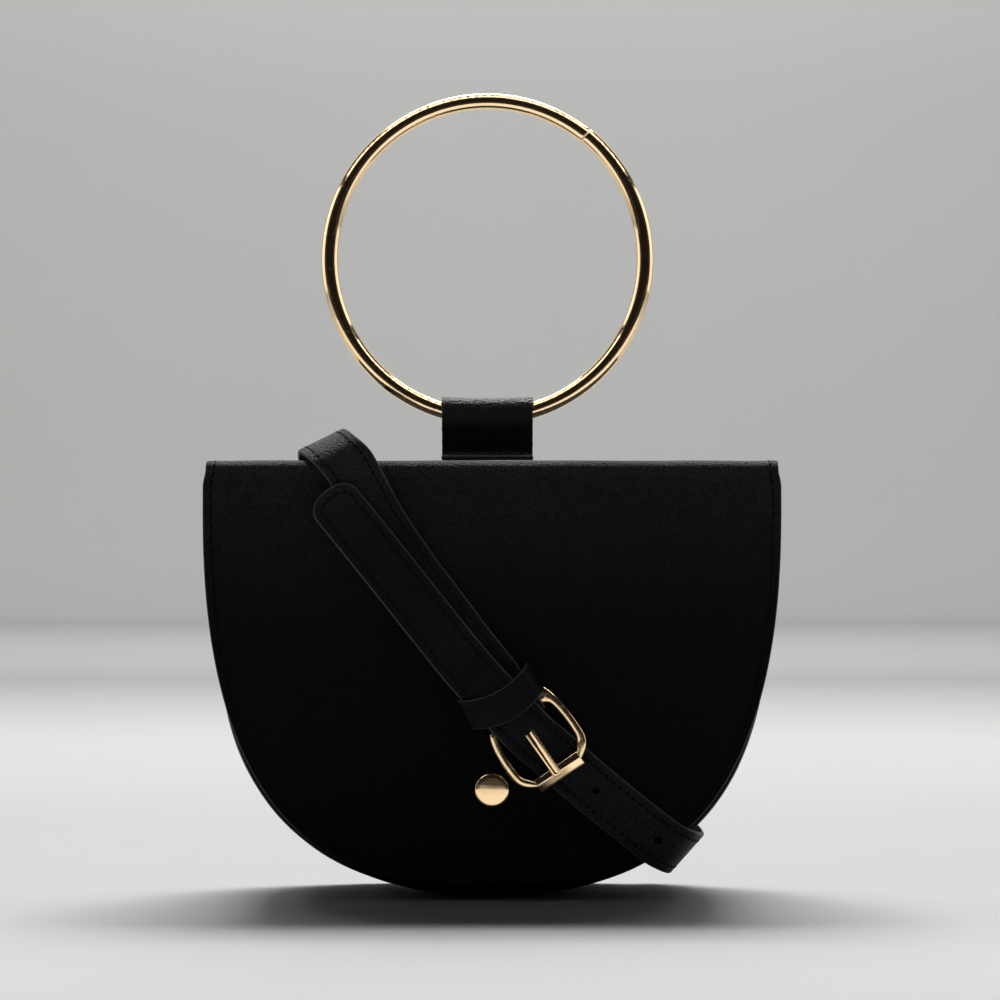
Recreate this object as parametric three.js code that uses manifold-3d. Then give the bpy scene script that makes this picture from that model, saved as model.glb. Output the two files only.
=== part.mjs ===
// Half-moon handbag with a ring handle. The leather body is a back panel that runs over the top and
// down the front as a flap, a front panel under it and a U-shaped gusset between them. A gold ring
// stands in a leather tab on top, and a buckled strap is wrapped round the bag like a sash.
// Millimetres, +Z up, the flap faces -Y, and the bag rests on z = 0 with the origin under its middle.
import * as THREE from "three";
import { mergeVertices } from "three/addons/utils/BufferGeometryUtils.js";
import Module from "manifold-3d";

// Bag body
const bagWidth = 200; // across the flap, the widest piece
const bagHeight = 152.2; // floor to the top of the bag
const bagDepth = 56; // outer face of the flap to outer face of the back
const wall = 1.6; // leather of the panels and the gusset
const gap = 0.3; // between pieces that are sewn together or lie on each other
const topFold = 7; // outer radius where the leather turns over the top
const topTaper = 1; // how much narrower the top is than the flap, on each side
const flapOverhang = 2; // flap beyond the gusset's crown, on each side
const flapRise = 5.8; // lowest edge of the flap above the floor
const seamInset = 2.5; // panel edges inside the gusset's crown
const restSag = 1.2; // how far the gusset's crown is pressed flat by the floor
const snapRoom = 2.2; // between the flap and the front panel
const panelDrop = 3; // top edge of the front panel below the start of the top's fold
const gussetDrop = 1; // top ends of the gusset below the start of the top's fold

// Ring handle and its tab
const ringDiameter = 117.2; // outside
const ringWire = 5.8;
const ringSlit = 0.3; // butt seam, where the ends of the wire meet
const ringSlitTurn = 51.5; // degrees above the ring's right-hand side
const ringLift = 12.6; // lowest point of the ring above the bag
const ringShift = -1.7; // ring and tab off the middle of the bag
const tabWidth = 32;
const tabWall = 1.3;
const tabFoot = 13; // reach of each sewn foot from the middle of the bag
const tabClearance = 0.5; // between wire and loop

// Snap button
const snapDiameter = 12;
const snapDome = 1.5;
const snapPost = 3;
const snapClasp = 10; // diameter of the hidden clasp
const snapHeight = 38.3; // above the floor

// Strap, buckle and keeper
const strapWidth = 18;
const strapThick = 1.5;
const strapTuck = 24; // folded end behind the buckle
const strapTongue = 101.5; // rear bar of the buckle to the free tip
const tipRound = 7; // length of the rounded tip
const holeDiameter = 2.8;
const holePitch = 27.3;
const holeCount = 4; // besides the hole that the prong is in
const strapStep = 7; // longest stretch of strap between two cross-sections
const buckleAcross = 0.0955; // rear bar from the middle, as a share of half the bag's width
const buckleUp = 0.4225; // rear bar above the floor, as a share of the bag's height
const buckleTurn = 35; // degrees that the buckle's bars rise to the right
const buckleLength = 23.6; // rear bar to front bar
const frameRearWidth = 25.2; // outside, at the rear bar
const frameWidth = 29.8; // outside, at the widest
const frameBand = 3;
const frameThick = 2.2;
const prongWidth = 2.6;
const prongThick = 1.2;
const plateLength = 17.8;
const plateWidth = 5.2;
const plateWall = 0.55;
const keeperLength = 11; // along the strap
const keeperWidth = 27.2; // outside, across the strap
const keeperWall = 1.2;
const keeperTurn = 6.6; // degrees from the buckle's bars
const keeperShift = -1.8; // off the middle of the frame

// Colours and finishes
const leatherFinish = { color: 0x15171a, roughness: 0.55, metalness: 0 };
const strapFinish = { color: 0x1a1c1c, roughness: 0.62, metalness: 0 };
const goldFinish = { color: 0xd9bd8a, roughness: 0.16, metalness: 1 };

const wasm = await Module();
wasm.setup();
const radians = THREE.MathUtils.degToRad;
const lerp = THREE.MathUtils.lerp;

// A closed body through a row of sections with equal numbers of points. Each end is closed by a
// ladder of faces between its first and second half, and the faces are turned to point outwards.
function loft(sections) {
  const size = sections[0].length;
  const last = sections.length - 1;
  const position = sections.flat().flatMap((point) => point.toArray());
  let faces = [];
  const quad = (a, b, c, d) => faces.push([a, b, c], [a, c, d]);
  for (let row = 0; row < last; row++) {
    for (let i = 0; i < size; i++) {
      const next = (i + 1) % size;
      quad(row * size + i, row * size + next, (row + 1) * size + next, (row + 1) * size + i);
    }
  }
  for (let i = 0; i < size / 2 - 1; i++) {
    const far = size - 1 - i;
    quad(i, far, far - 1, i + 1);
    quad(last * size + i, last * size + i + 1, last * size + far - 1, last * size + far);
  }
  const corner = (index) => new THREE.Vector3().fromArray(position, index * 3);
  const volume = faces.reduce((sum, [a, b, c]) => sum + corner(a).dot(corner(b).cross(corner(c))), 0);
  if (volume < 0) faces = faces.map(([a, b, c]) => [a, c, b]);
  return new THREE.BufferGeometry()
    .setAttribute("position", new THREE.Float32BufferAttribute(position, 3))
    .setIndex(faces.flat());
}

// Solids for cutting and joining, and their way back to a geometry.
function solid(geometry) {
  const bare = geometry.clone();
  bare.deleteAttribute("normal");
  bare.deleteAttribute("uv");
  const merged = mergeVertices(bare, 1e-4);
  const vertProperties = new Float32Array(merged.attributes.position.array);
  const triVerts = new Uint32Array(merged.index.array);
  return new wasm.Manifold(new wasm.Mesh({ numProp: 3, vertProperties, triVerts }));
}

function geometryOf(body) {
  const mesh = body.getMesh();
  return new THREE.BufferGeometry()
    .setAttribute("position", new THREE.BufferAttribute(mesh.vertProperties, 3))
    .setIndex([...mesh.triVerts]);
}

function piece(name, geometry, finish) {
  geometry.computeVertexNormals();
  const mesh = new THREE.Mesh(geometry, new THREE.MeshStandardMaterial(finish));
  mesh.name = name;
  return mesh;
}

// Half-moon outlines, seen from the front: straight sides above the waist, and below it a curve
// that is squarer or rounder by its two powers. Inset moves the whole outline inwards.
function outline(half, low, waistShare, depthPower, widthPower) {
  const waist = waistShare * bagHeight;
  return { half, low, waist, depthPower, widthPower };
}

function inset(shape, distance) {
  return { ...shape, half: shape.half - distance, low: shape.low + distance };
}

const foldStart = bagHeight - topFold;
const flapOutline = outline(bagWidth / 2, flapRise, 0.936, 2.55, 2.95);
const crownOutline = outline(bagWidth / 2 - flapOverhang, -restSag, 0.854, 3.55, 2.15);
const seamOutline = inset(crownOutline, seamInset);

// Right-hand half of an outline from the top down, as points that hold half-width and height.
function halfOutline(shape, top, steps, lastTurn) {
  const points = [new THREE.Vector2(shape.half, top)];
  for (let i = 0; i <= steps; i++) {
    const turn = radians((lastTurn * i) / steps);
    const x = shape.half * Math.cos(turn) ** (2 / shape.widthPower);
    const z = shape.waist - (shape.waist - shape.low) * Math.sin(turn) ** (2 / shape.depthPower);
    points.push(new THREE.Vector2(x, z));
  }
  return points;
}

// Back, top and flap in one sheet: level rows across the bag, from the lowest row of the
// back, over the top and down to the flap's lowest row. Each row has its outer line and its normal.
function backAndFlap() {
  const lowestTurn = 84;
  const face = bagDepth / 2;
  const foldCentre = face - topFold;
  const topHalf = bagWidth / 2 - topTaper;
  const rows = [];
  const widen = (half, z) =>
    lerp(half, topHalf, THREE.MathUtils.smoothstep(z, 0.8 * foldStart, foldStart));
  const back = halfOutline(seamOutline, foldStart, 16, lowestTurn).reverse();
  for (const { x, y } of back) rows.push({ half: widen(x, y), y: face, z: y, turn: 0 });
  for (const turn of [22.5, 45, 67.5, 90, 112.5, 135, 157.5]) {
    const centre = turn > 90 ? -foldCentre : foldCentre;
    const y = centre + topFold * Math.cos(radians(turn));
    const z = foldStart + topFold * Math.sin(radians(turn));
    if (turn === 90) rows.push({ half: topHalf, y: foldCentre, z, turn });
    rows.push({ half: topHalf, y: turn === 90 ? -foldCentre : y, z, turn });
  }
  const flap = halfOutline(flapOutline, foldStart, 16, lowestTurn);
  for (const { x, y } of flap) rows.push({ half: x, y: -face, z: y, turn: 180 });
  const sections = rows.map(({ half, y, z, turn }) => {
    const innerY = y - wall * Math.cos(radians(turn));
    const innerZ = z - wall * Math.sin(radians(turn));
    return [
      new THREE.Vector3(-half, y, z),
      new THREE.Vector3(half, y, z),
      new THREE.Vector3(half, innerY, innerZ),
      new THREE.Vector3(-half, innerY, innerZ),
    ];
  });
  const hole = new THREE.CylinderGeometry(snapPost / 2 + gap, snapPost / 2 + gap, 4 * wall, 24);
  hole.translate(0, -face, snapHeight);
  return geometryOf(solid(loft(sections)).subtract(solid(hole)));
}

// Front panel: the seam's half-moon cut off below the top of the bag, with a rounded edge.
const panelFace = -bagDepth / 2 + wall + snapRoom;

function frontPanel() {
  const edge = 0.3 * wall;
  const right = halfOutline(seamOutline, foldStart - panelDrop, 16, 88);
  const left = right.map(({ x, y }) => new THREE.Vector2(-x, y)).reverse();
  const plate = new THREE.ExtrudeGeometry(new THREE.Shape([...right, ...left]), {
    depth: wall - 2 * edge,
    bevelThickness: edge,
    bevelSize: edge,
    bevelOffset: -edge,
    bevelSegments: 2,
  });
  plate.rotateX(Math.PI / 2);
  plate.translate(0, panelFace + wall - edge, 0);
  return plate;
}

// Gusset: a band of leather along the seam's outline. Its middle stands out as a crown, and the
// floor presses the crown flat under the bag.
function gusset() {
  const columns = 8;
  const front = panelFace + wall + gap;
  const back = bagDepth / 2 - wall - gap;
  const right = halfOutline(seamOutline, foldStart - gussetDrop, 18, 88);
  const left = right.map(({ x, y }) => new THREE.Vector2(-x, y)).reverse();
  const line = [...right, ...left];
  const sections = line.map((point, i) => {
    const before = line[Math.max(i - 1, 0)];
    const after = line[Math.min(i + 1, line.length - 1)];
    const along = after.clone().sub(before).normalize();
    const at = (share, depth) => {
      const out = seamInset * (1 - (2 * share - 1) ** 2) - depth;
      const z = Math.max(point.y + along.x * out, depth);
      return new THREE.Vector3(point.x - along.y * out, lerp(front, back, share), z);
    };
    const shares = Array.from({ length: columns + 1 }, (_, j) => j / columns);
    return [...shares.map((share) => at(share, 0)), ...shares.reverse().map((share) => at(share, wall))];
  });
  return loft(sections);
}

// Ring: round wire bent to a circle that stands across the bag, with a fine slit at its butt seam.
const ringRadius = (ringDiameter - ringWire) / 2;
const ringHeight = bagHeight + ringLift + ringDiameter / 2;

function ring() {
  const torus = new THREE.TorusGeometry(ringRadius, ringWire / 2, 14, 72);
  const slit = new THREE.BoxGeometry(2 * ringWire, ringSlit, 2 * ringWire);
  slit.translate(ringRadius, 0, 0);
  slit.rotateZ(radians(ringSlitTurn));
  const cut = geometryOf(solid(torus).subtract(solid(slit)));
  return cut.rotateX(Math.PI / 2);
}

// Tab: one strip of leather, up from a foot sewn to the top, round the wire, and down again to the
// other foot. The loop is taller than the wire, because the wire rises towards the tab's edges.
function tab() {
  const wireRise = ringRadius - Math.sqrt(ringRadius ** 2 - (tabWidth / 2) ** 2);
  const inner = ringWire / 2 + tabClearance;
  const outer = inner + tabWall;
  const low = ringLift + ringWire / 2;
  const high = low + wireRise;
  const neck = low - 1.7 * outer;
  const shape = new THREE.Shape();
  shape.moveTo(tabFoot, gap);
  shape.lineTo(tabFoot, gap + tabWall);
  shape.lineTo(2.2 * tabWall, gap + tabWall);
  shape.quadraticCurveTo(tabWall, gap + tabWall, tabWall, gap + 2.2 * tabWall);
  shape.lineTo(tabWall, neck);
  shape.quadraticCurveTo(outer, lerp(neck, low, 0.5), outer, low);
  shape.lineTo(outer, high);
  shape.absarc(0, high, outer, 0, Math.PI, false);
  shape.lineTo(-outer, low);
  shape.quadraticCurveTo(-outer, lerp(neck, low, 0.5), -tabWall, neck);
  shape.lineTo(-tabWall, gap + 2.2 * tabWall);
  shape.quadraticCurveTo(-tabWall, gap + tabWall, -2.2 * tabWall, gap + tabWall);
  shape.lineTo(-tabFoot, gap + tabWall);
  shape.lineTo(-tabFoot, gap);
  const loop = new THREE.Path();
  loop.absarc(0, high, inner, 0, Math.PI, false);
  loop.absarc(0, low, inner, Math.PI, 2 * Math.PI, false);
  shape.holes.push(loop);
  const band = new THREE.ExtrudeGeometry(shape, {
    depth: tabWidth,
    bevelEnabled: false,
    curveSegments: 10,
  });
  band.translate(0, 0, -tabWidth / 2);
  const across = new THREE.Vector3(1, 0, 0);
  const back = new THREE.Vector3(0, 1, 0);
  const up = new THREE.Vector3(0, 0, 1);
  return band.applyMatrix4(new THREE.Matrix4().makeBasis(back, up, across));
}

// Snap button: domed cap with a rim, post through the flap, and the clasp hidden behind it.
function snap() {
  const cap = snapDiameter / 2;
  const claspBack = wall + snapRoom - gap;
  const profile = [
    [0, -gap - snapDome],
    [0.45 * cap, -gap - 0.92 * snapDome],
    [0.78 * cap, -gap - 0.72 * snapDome],
    [0.86 * cap, -gap - 0.56 * snapDome],
    [0.93 * cap, -gap - 0.66 * snapDome],
    [cap, -gap - 0.42 * snapDome],
    [cap, -gap],
    [snapPost / 2, -gap],
    [snapPost / 2, wall + gap],
    [snapClasp / 2, wall + gap],
    [snapClasp / 2, claspBack],
    [0, claspBack],
  ].map(([radius, depth]) => new THREE.Vector2(radius, depth));
  return new THREE.LatheGeometry(profile, 32);
}

// Buckle space: x runs from the rear bar to the front bar, y along the bars, and z is the height
// over the flap. Its origin is on the flap's face, under the middle of the rear bar.
const buckleSpace = (() => {
  const turn = radians(buckleTurn);
  const onward = new THREE.Vector3(Math.sin(turn), 0, -Math.cos(turn));
  const along = new THREE.Vector3(Math.cos(turn), 0, Math.sin(turn));
  const outward = new THREE.Vector3(0, -1, 0);
  const x = (buckleAcross * bagWidth) / 2;
  return new THREE.Matrix4()
    .makeBasis(onward, along, outward)
    .setPosition(x, -bagDepth / 2, buckleUp * bagHeight);
})();

// Heights over the flap of everything stacked at the buckle.
const barHalf = frameThick / 2;
const eyeRoom = 0.45; // round the rear bar, inside the fold and the prong's eye
const layer = strapThick + gap;
const restHeight = gap + strapThick / 2;
const tuckHeight = restHeight + keeperWall + gap;
const foldRadius = barHalf + eyeRoom + strapThick / 2;
const barHeight = tuckHeight + foldRadius;
const tongueHeight = barHeight + foldRadius + layer;
const prongLow = barHalf + gap;
const prongShift = -0.8; // prong off the middle of the frame

function buckleFrame() {
  const rear = frameRearWidth / 2;
  const wide = frameWidth / 2;
  const edge = 0.25 * frameThick;
  const round = plateLength / 2 + gap;
  const frontBar = frameBand / 2;
  const outer = [
    [0.04, rear],
    [0.28, lerp(rear, wide, 0.75)],
    [0.56, wide],
    [0.8, lerp(round, wide, 0.86)],
    [0.94, lerp(round, wide, 0.45)],
  ];
  const inner = [
    [0.1, rear - frameBand],
    [0.28, lerp(rear, wide, 0.75) - frameBand],
    [0.56, wide - frameBand],
    [0.78, lerp(round, wide, 0.9) - frameBand],
    [0.87, round + 0.2 * frameBand],
  ];
  const side = (shape, rows, mirror) => {
    const points = rows.map(([x, y]) => new THREE.Vector2(x * buckleLength, mirror * y));
    shape.splineThru(mirror > 0 ? points : points.reverse());
  };
  const shape = new THREE.Shape();
  shape.moveTo(-barHalf, -rear + barHalf);
  shape.lineTo(-barHalf, rear - barHalf);
  side(shape, outer, 1);
  shape.lineTo(buckleLength + frontBar, round + 0.5 * frameBand);
  shape.lineTo(buckleLength + frontBar, -round - 0.5 * frameBand);
  side(shape, outer, -1);
  const window = new THREE.Shape();
  window.moveTo(barHalf, -rear + frameBand);
  window.lineTo(barHalf, rear - frameBand);
  side(window, inner, 1);
  window.lineTo(buckleLength - frontBar, round);
  window.lineTo(buckleLength - frontBar, -round);
  side(window, inner, -1);
  const blank = new THREE.ExtrudeGeometry(shape, {
    depth: frameThick - 2 * edge,
    bevelThickness: edge,
    bevelSize: edge,
    bevelOffset: -edge,
    bevelSegments: 2,
    curveSegments: 3,
  });
  const opening = new THREE.ExtrudeGeometry(window, {
    depth: 2 * frameThick,
    bevelEnabled: false,
    curveSegments: 3,
  });
  opening.translate(0, 0, -frameThick / 2);
  const frame = geometryOf(solid(blank).subtract(solid(opening)));
  return frame.translate(0, 0, barHeight - barHalf + edge);
}

function box(x0, x1, y0, y1, z0, z1) {
  const block = new THREE.BoxGeometry(x1 - x0, y1 - y0, z1 - z0);
  return block.translate((x0 + x1) / 2, (y0 + y1) / 2, (z0 + z1) / 2);
}

// Prong: an eye round the rear bar and a flat arm whose tip lies on the front bar.
function prong() {
  const eye = barHalf + eyeRoom;
  const tip = buckleLength + 0.2 * frameBand;
  const side = prongWidth / 2;
  const curl = solid(new THREE.CylinderGeometry(eye + prongThick, eye + prongThick, prongWidth, 24));
  const arm = solid(box(0, tip, -side, side, prongLow, prongLow + prongThick));
  const bore = solid(new THREE.CylinderGeometry(eye, eye, 2 * prongWidth, 24));
  const shape = geometryOf(curl.add(arm).subtract(bore));
  return shape.translate(0, prongShift, barHeight);
}

// Plate: sheet metal folded round the front bar, with a notch that the prong's tip lies in.
function plate() {
  const innerX = plateWidth / 2 - plateWall;
  const innerZ = barHalf + gap;
  const outerZ = innerZ + plateWall;
  const half = plateLength / 2;
  const sleeve = solid(box(-plateWidth / 2, plateWidth / 2, -half, half, -outerZ, outerZ));
  const hollow = solid(box(-innerX, innerX, -half - gap, half + gap, -innerZ, innerZ));
  const notchHalf = prongWidth / 2 + gap;
  const notchEnd = 0.2 * frameBand + gap;
  const notch = box(-plateWidth, notchEnd, prongShift - notchHalf, prongShift + notchHalf, 0, 2 * outerZ);
  const shape = geometryOf(sleeve.subtract(hollow).subtract(solid(notch)));
  return shape.translate(buckleLength, 0, barHeight);
}

// Keeper: a band of leather round the folded end, the strap and its tongue.
function keeper() {
  const half = keeperWidth / 2;
  const low = gap;
  const high = tongueHeight + strapThick / 2 + gap + keeperWall;
  const ringShape = (path, inward) => {
    const side = half - inward;
    const bottom = low + inward;
    const top = high - inward;
    const round = 0.24 * (high - low) - 0.5 * inward;
    path.moveTo(-side + 0.5 * round, bottom);
    path.lineTo(side - 0.5 * round, bottom);
    path.quadraticCurveTo(side, bottom, side, bottom + 0.5 * round);
    path.lineTo(side, top - round);
    path.quadraticCurveTo(side, top, side - round, top);
    path.lineTo(-side + round, top);
    path.quadraticCurveTo(-side, top, -side, top - round);
    path.lineTo(-side, bottom + 0.5 * round);
    path.quadraticCurveTo(-side, bottom, -side + 0.5 * round, bottom);
    return path;
  };
  const shape = ringShape(new THREE.Shape(), 0);
  shape.holes.push(ringShape(new THREE.Path(), keeperWall));
  const band = new THREE.ExtrudeGeometry(shape, {
    depth: keeperLength,
    bevelEnabled: false,
    curveSegments: 5,
  });
  band.translate(0, 0, -keeperLength / 2);
  const turn = new THREE.Matrix4().makeBasis(
    new THREE.Vector3(0, 1, 0),
    new THREE.Vector3(0, 0, 1),
    new THREE.Vector3(1, 0, 0),
  );
  band.applyMatrix4(turn).rotateZ(radians(-keeperTurn));
  const clear = barHalf + gap + (keeperWidth / 2) * Math.sin(radians(keeperTurn));
  return band.translate(-keeperLength / 2 - clear, keeperShift, 0);
}

// Stations of the strap's middle line. Each has its place, the angle in degrees that a line across
// the strap rises to the right, and half the strap's width there.
function station(place, turn, half = strapWidth / 2) {
  return { place, turn, half };
}

function atBuckle(onward, along, height, turn, half) {
  return station(new THREE.Vector3(onward, along, height).applyMatrix4(buckleSpace), turn, half);
}

function onBag(across, y, up, turn) {
  return station(new THREE.Vector3((across * bagWidth) / 2, y, up * bagHeight), turn);
}

// A wrap from the front face to the back face over an edge of the bag. Power sets how square it is.
function wrap(front, crest, back, power, steps) {
  const reach = bagDepth / 2 + restHeight;
  const middle = front.place.clone().add(back.place).multiplyScalar(0.5);
  const lift = crest.place.clone().sub(middle);
  return Array.from({ length: steps + 1 }, (_, i) => {
    const turn = radians((180 * i) / steps - 90);
    const out = Math.max(Math.cos(turn), 0) ** (2 / power);
    const near = i * 2 < steps ? front : back;
    const place = front.place.clone().lerp(back.place, i / steps).addScaledVector(lift, out);
    place.y = reach * Math.sign(Math.sin(turn)) * Math.abs(Math.sin(turn)) ** (2 / power);
    return station(place, lerp(near.turn, crest.turn, out));
  });
}

// Stations in order: folded end, round the rear bar, up the front, over the top, down the back,
// round the lower right edge, up the front under the front bar, and the tongue to its free tip.
function strapStations() {
  const face = bagDepth / 2 + restHeight;
  const half = strapWidth / 2;
  const over = tuckHeight + layer;
  const tongueRest = restHeight + layer;
  const foldTurns = [0, 45, 90, 135, 180];
  const fold = foldTurns.map((angle) => {
    const onward = foldRadius * Math.sin(radians(angle));
    return atBuckle(onward, 0, barHeight - foldRadius * Math.cos(radians(angle)), buckleTurn);
  });
  const buckleEnd = [
    atBuckle(-strapTuck, -0.3, tuckHeight, 35),
    atBuckle(-0.4 * strapTuck, 0, tuckHeight, 35),
    ...fold,
    atBuckle(-0.2 * strapTuck, 0, lerp(over, barHeight + foldRadius, 0.75), 35),
    atBuckle(-0.45 * strapTuck, 0.2, lerp(over, barHeight + foldRadius, 0.15), 35),
    atBuckle(-0.7 * strapTuck, 0.4, over, 35),
    atBuckle(-1.05 * strapTuck, -0.2, over, 35),
    atBuckle(-1.35 * strapTuck, -0.6, lerp(restHeight, over, 0.45), 35),
    atBuckle(-1.7 * strapTuck, -0.9, 1.1 * restHeight, 35),
    atBuckle(-2.1 * strapTuck, -1.2, restHeight, 35),
    onBag(-0.27, -face, 0.747, 34),
    onBag(-0.385, -face, 0.859, 33.5),
  ];
  const overTop = wrap(
    onBag(-0.494, -face, 0.989, 31),
    onBag(-0.603, 0, 1.0453, 26),
    onBag(-0.605, face, 0.991, 36),
    3,
    16,
  );
  const downBack = [onBag(-0.545, face, 0.91, 41), onBag(0.02, face, 0.52, 43.5)];
  const roundEdge = wrap(
    onBag(0.605, -face, 0.112, 49),
    onBag(0.695, 0, 0.08, 48.3),
    onBag(0.615, face, 0.119, 45),
    2.8,
    12,
  ).reverse();
  const tongue = [
    atBuckle(1.54 * buckleLength, 6.5, restHeight, 49),
    atBuckle(0.95 * buckleLength, 3, restHeight, 49),
    atBuckle(0.67 * buckleLength, 1.4, restHeight, 48),
    atBuckle(0.4 * buckleLength, -0.2, lerp(restHeight, tongueHeight, 0.5), 47),
    atBuckle(0.13 * buckleLength, -1.2, tongueHeight, 46),
    atBuckle(-0.08 * strapTuck, -2, tongueHeight, 45),
    atBuckle(-0.5 * strapTuck, -3.8, lerp(over + layer, tongueHeight, 0.45), 42),
    atBuckle(-0.83 * strapTuck, -4.8, over + layer, 40),
    atBuckle(-1.1 * strapTuck, -5.5, over + layer, 39.5),
    atBuckle(-1.7 * strapTuck, -6.6, tongueRest, 39),
    atBuckle(-0.7 * strapTongue, -8.4, tongueRest, 39),
  ];
  const tip = [
    [1, 1],
    [0.6, 0.95],
    [0.25, 0.8],
    [0.06, 0.58],
    [0, 0.4],
  ].map(([share, width]) => {
    const onward = share * tipRound - strapTongue;
    return atBuckle(onward, -10.5 + 0.07 * share * tipRound, tongueRest, 39, width * half);
  });
  return [...buckleEnd, ...overTop, ...downBack, ...roundEdge, ...tongue, ...tip];
}

// Evenly smooth cross-sections along the stations, with the frame of each one.
function strapFrames() {
  const stations = strapStations();
  const places = stations.map(({ place }) => place);
  const curve = new THREE.CatmullRomCurve3(places, false, "centripetal");
  const spans = stations.length - 1;
  const frames = [];
  for (let i = 0; i < spans; i++) {
    const steps = Math.ceil(places[i].distanceTo(places[i + 1]) / strapStep);
    for (let k = 0; k < steps; k++) frames.push(strapFrame(stations, curve, i, k / steps));
  }
  frames.push(strapFrame(stations, curve, spans - 1, 1));
  return frames;
}

function strapFrame(stations, curve, i, share) {
  const t = (i + share) / (stations.length - 1);
  const turn = radians(lerp(stations[i].turn, stations[i + 1].turn, share));
  const half = lerp(stations[i].half, stations[i + 1].half, share);
  const across = new THREE.Vector3(Math.cos(turn), 0, Math.sin(turn));
  const normal = across.clone().cross(curve.getTangent(t)).normalize();
  return { place: curve.getPoint(t), across, normal, half };
}

function strap() {
  const frames = strapFrames();
  const sections = frames.map(({ place, across, normal, half }) => {
    const corner = (side, face) =>
      place
        .clone()
        .addScaledVector(across, side * half)
        .addScaledVector(normal, (face * strapThick) / 2);
    return [corner(-1, 1), corner(1, 1), corner(1, -1), corner(-1, -1)];
  });
  let body = solid(loft(sections));
  const cut = (geometry, space) => {
    body = body.subtract(solid(geometry.applyMatrix4(space)));
  };
  const slotHalf = prongWidth / 2 + gap;
  const slotLow = barHeight - foldRadius - strapThick;
  const slotHigh = tongueHeight - 0.6 * strapThick;
  const eyeReach = barHalf + eyeRoom + prongThick + gap;
  const prongSide = [prongShift - slotHalf, prongShift + slotHalf];
  cut(box(-eyeReach, eyeReach + strapThick, ...prongSide, slotLow, slotHigh), buckleSpace);
  const holeSide = [prongShift - slotHalf - gap / 2, prongShift + slotHalf + gap / 2];
  const armLow = barHeight + prongLow - gap;
  const armHigh = armLow + prongThick + 2 * gap;
  cut(box(eyeReach, 0.75 * buckleLength, ...holeSide, armLow, armHigh), buckleSpace);
  for (const frame of holeFrames(frames)) {
    const punch = new THREE.CylinderGeometry(holeDiameter / 2, holeDiameter / 2, 4 * strapThick, 16);
    const along = frame.across.clone().cross(frame.normal);
    const space = new THREE.Matrix4().makeBasis(frame.across, frame.normal, along);
    cut(punch, space.setPosition(frame.place));
  }
  return geometryOf(body);
}

// Frames of the punched holes that the prong isn't in, at equal steps down the strap from the prong.
function holeFrames(frames) {
  const prongHole = new THREE.Vector3(0.4 * buckleLength, -0.2, 0).applyMatrix4(buckleSpace);
  const backwards = frames.slice().reverse();
  const flat = (frame) => Math.hypot(frame.place.x - prongHole.x, frame.place.z - prongHole.z);
  const nearest = backwards.reduce((best, frame) => (flat(frame) < flat(best) ? frame : best));
  const run = backwards.slice(backwards.indexOf(nearest));
  const found = [];
  let travelled = 0;
  for (let i = 1; i < run.length && found.length < holeCount; i++) {
    const step = run[i].place.distanceTo(run[i - 1].place);
    const wanted = holePitch * (found.length + 1);
    if (travelled + step >= wanted) {
      const share = (wanted - travelled) / step;
      found.push({ ...run[i], place: run[i - 1].place.clone().lerp(run[i].place, share) });
    }
    travelled += step;
  }
  return found;
}

// The whole bag. The hard pieces of the buckle share one group in the buckle's own space.
const bag = new THREE.Group();
bag.add(piece("back_and_flap", backAndFlap(), leatherFinish));
bag.add(piece("front_panel", frontPanel(), leatherFinish));
bag.add(piece("gusset", gusset(), leatherFinish));
bag.add(piece("strap", strap(), strapFinish));

const handle = new THREE.Group();
handle.position.set(ringShift, 0, bagHeight);
const tabPiece = piece("ring_tab", tab(), leatherFinish);
const ringPiece = piece("ring_handle", ring(), goldFinish);
ringPiece.position.z = ringHeight - bagHeight;
handle.add(tabPiece, ringPiece);
bag.add(handle);

const snapPiece = piece("snap_cap", snap(), goldFinish);
snapPiece.position.set(0, -bagDepth / 2, snapHeight);
bag.add(snapPiece);

const buckle = new THREE.Group();
buckle.applyMatrix4(buckleSpace);
buckle.add(piece("buckle_frame", buckleFrame(), goldFinish));
buckle.add(piece("buckle_prong", prong(), goldFinish));
buckle.add(piece("buckle_plate", plate(), goldFinish));
buckle.add(piece("strap_keeper", keeper(), strapFinish));
bag.add(buckle);

export default bag;
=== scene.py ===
"""Looks for a half-moon handbag with a gold ring handle and a buckled strap wrapped round it.

Every leather piece is cut flat and then bent along a line, as a bag maker does it. Sizes are in
millimetres until a piece is made into an object, which is in metres in the frame of the model.
"""

import math
from bisect import bisect_right

import bmesh
import bpy
from mathutils import Matrix, Vector, noise


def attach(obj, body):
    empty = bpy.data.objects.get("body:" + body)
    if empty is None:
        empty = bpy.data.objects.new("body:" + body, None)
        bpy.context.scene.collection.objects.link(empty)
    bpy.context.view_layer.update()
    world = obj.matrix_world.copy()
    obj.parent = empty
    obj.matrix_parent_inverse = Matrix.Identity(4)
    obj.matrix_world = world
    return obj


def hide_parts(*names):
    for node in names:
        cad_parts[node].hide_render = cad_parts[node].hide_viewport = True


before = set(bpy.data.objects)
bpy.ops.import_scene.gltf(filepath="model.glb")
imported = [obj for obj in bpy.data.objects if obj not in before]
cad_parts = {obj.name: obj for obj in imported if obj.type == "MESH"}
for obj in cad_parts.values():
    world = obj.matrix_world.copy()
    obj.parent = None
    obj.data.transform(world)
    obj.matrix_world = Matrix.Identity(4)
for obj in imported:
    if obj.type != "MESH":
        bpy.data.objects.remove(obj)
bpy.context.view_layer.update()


# Back, top and flap. One sheet of black grained leather, cut flat, creased and stitched all along its
# edge, and folded twice: up the back, over the top and down the front as the flap.
bag_width = 200
bag_height = 152.2
bag_depth = 56
leather_wall = 1.6
fold_radius = 7
fold_start = bag_height - fold_radius
top_taper = 1
seam_half = 95.5
seam_low = 1.3
face = bag_depth / 2
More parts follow.
